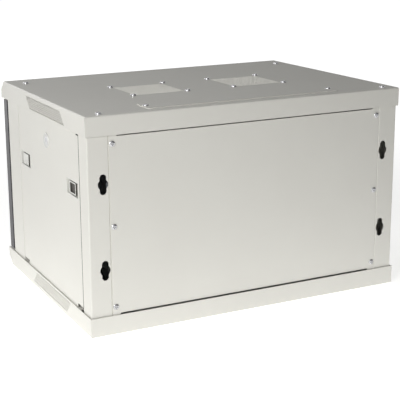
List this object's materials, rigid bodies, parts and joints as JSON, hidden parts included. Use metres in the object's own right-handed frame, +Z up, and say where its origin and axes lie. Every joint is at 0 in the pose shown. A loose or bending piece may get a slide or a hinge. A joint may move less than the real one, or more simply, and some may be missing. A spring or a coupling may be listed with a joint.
{
  "type": "wall mount network cabinet",
  "caption": "Wall mounted network cabinet in folded sheet steel with a hinged glass door, tilting side panels, roof fans and 19-inch rack rails.",
  "frame": {"origin": "middle of the cabinet's underside", "axes": "+X to the right seen from the door, +Y from the door to the wall, +Z up"},
  "size_m": [0.6, 0.45, 0.3716],
  "materials": {
    "light_grey_powder_coat": "fine-textured light grey powder coat",
    "dark_grey_powder_coat": "fine-textured dark grey powder coat",
    "zinc_plated_steel": "bright zinc plating on rolled steel",
    "nickel_plated_steel": "bright nickel plating",
    "smoked_glass": "toughened smoked glass",
    "black_plastic": "moulded black plastic",
    "grey_plastic": "moulded grey plastic",
    "natural_nylon": "natural nylon"
  },
  "bodies": {
    "cabinet": {"back_panel": "light_grey_powder_coat", "back_panel_screws": "nickel_plated_steel", "base_cable_cover": "light_grey_powder_coat", "base_pan": "light_grey_powder_coat", "base_screws": "nickel_plated_steel", "base_vent_left": "light_grey_powder_coat", "base_vent_right": "light_grey_powder_coat", "beam_bolts": "zinc_plated_steel", "cable_cover_screws": "nickel_plated_steel", "door_bushes": "natural_nylon", "fan_grille_left": "light_grey_powder_coat", "fan_grille_right": "light_grey_powder_coat", "fan_housing_left": "black_plastic", "fan_housing_right": "black_plastic", "fan_screws": "nickel_plated_steel", "front_upright_left": "light_grey_powder_coat", "front_upright_right": "light_grey_powder_coat", "lid_screws": "nickel_plated_steel", "lid_vent_left": "light_grey_powder_coat", "lid_vent_right": "light_grey_powder_coat", "rack_rail_front_left": "zinc_plated_steel", "rack_rail_front_right": "zinc_plated_steel", "rack_rail_rear_left": "zinc_plated_steel", "rack_rail_rear_right": "zinc_plated_steel", "rail_bolts": "zinc_plated_steel", "rear_upright_left": "light_grey_powder_coat", "rear_upright_right": "light_grey_powder_coat", "side_beam_lower_left": "zinc_plated_steel", "side_beam_lower_right": "zinc_plated_steel", "side_beam_upper_left": "zinc_plated_steel", "side_beam_upper_right": "zinc_plated_steel", "top_cable_cover": "light_grey_powder_coat", "top_cover": "light_grey_powder_coat"},
    "fan_left": {"fan_rotor_left": "black_plastic"},
    "fan_right": {"fan_rotor_right": "black_plastic"},
    "door": {"door_frame": "dark_grey_powder_coat", "door_glass": "smoked_glass", "glass_strips": "zinc_plated_steel", "door_hinge_pins": "nickel_plated_steel", "door_lock_barrel": "nickel_plated_steel"},
    "door_lock": {"door_lock_core": "nickel_plated_steel", "door_lock_cam": "nickel_plated_steel"},
    "side_panel_left": {"side_panel_left": "light_grey_powder_coat", "latch_housing_front_left": "grey_plastic", "latch_housing_rear_left": "grey_plastic", "side_lock_barrel_left": "nickel_plated_steel"},
    "side_lock_left": {"side_lock_core_left": "nickel_plated_steel", "side_lock_cam_left": "nickel_plated_steel"},
    "latch_front_left": {"latch_slider_front_left": "grey_plastic"},
    "latch_rear_left": {"latch_slider_rear_left": "grey_plastic"},
    "side_panel_right": {"side_panel_right": "light_grey_powder_coat", "latch_housing_front_right": "grey_plastic", "latch_housing_rear_right": "grey_plastic", "side_lock_barrel_right": "nickel_plated_steel"},
    "side_lock_right": {"side_lock_core_right": "nickel_plated_steel", "side_lock_cam_right": "nickel_plated_steel"},
    "latch_front_right": {"latch_slider_front_right": "grey_plastic"},
    "latch_rear_right": {"latch_slider_rear_right": "grey_plastic"}
  },
  "joints": [
    {"name": "door_hinge", "type": "hinge", "parent": "cabinet", "child": "door", "pos_m": [-0.288, -0.212, 0.184], "axis": [0, 0, -1], "range_deg": [0, 180]},
    {"name": "door_lock_turn", "type": "hinge", "parent": "door", "child": "door_lock", "pos_m": [0.2615, -0.2, 0.184], "axis": [0, 1, 0], "range_deg": [0, 90]},
    {"name": "fan_spin_left", "type": "hinge", "parent": "cabinet", "child": "fan_left", "pos_m": [-0.099, 0.0217, 0.34], "axis": [0, 0, 1], "continuous": true},
    {"name": "side_panel_tilt_left", "type": "hinge", "parent": "cabinet", "child": "side_panel_left", "pos_m": [-0.2982, 0.029, 0.033], "axis": [0, -1, 0], "range_deg": [0, 12]},
    {"name": "side_lock_turn_left", "type": "hinge", "parent": "side_panel_left", "child": "side_lock_left", "pos_m": [-0.29, 0.029, 0.2957], "axis": [-1, 0, 0], "range_deg": [0, 90]},
    {"name": "latch_slide_front_left", "type": "slide", "parent": "side_panel_left", "child": "latch_front_left", "axis": [0, -1, 0], "range_m": [0, 0.01]},
    {"name": "latch_slide_rear_left", "type": "slide", "parent": "side_panel_left", "child": "latch_rear_left", "axis": [0, 1, 0], "range_m": [0, 0.01]},
    {"name": "fan_spin_right", "type": "hinge", "parent": "cabinet", "child": "fan_right", "pos_m": [0.099, 0.0217, 0.34], "axis": [0, 0, 1], "continuous": true},
    {"name": "side_panel_tilt_right", "type": "hinge", "parent": "cabinet", "child": "side_panel_right", "pos_m": [0.2982, 0.029, 0.033], "axis": [0, 1, 0], "range_deg": [0, 12]},
    {"name": "side_lock_turn_right", "type": "hinge", "parent": "side_panel_right", "child": "side_lock_right", "pos_m": [0.29, 0.029, 0.2957], "axis": [-1, 0, 0], "range_deg": [0, 90]},
    {"name": "latch_slide_front_right", "type": "slide", "parent": "side_panel_right", "child": "latch_front_right", "axis": [0, -1, 0], "range_m": [0, 0.01]},
    {"name": "latch_slide_rear_right", "type": "slide", "parent": "side_panel_right", "child": "latch_rear_right", "axis": [0, 1, 0], "range_m": [0, 0.01]}
  ]
}
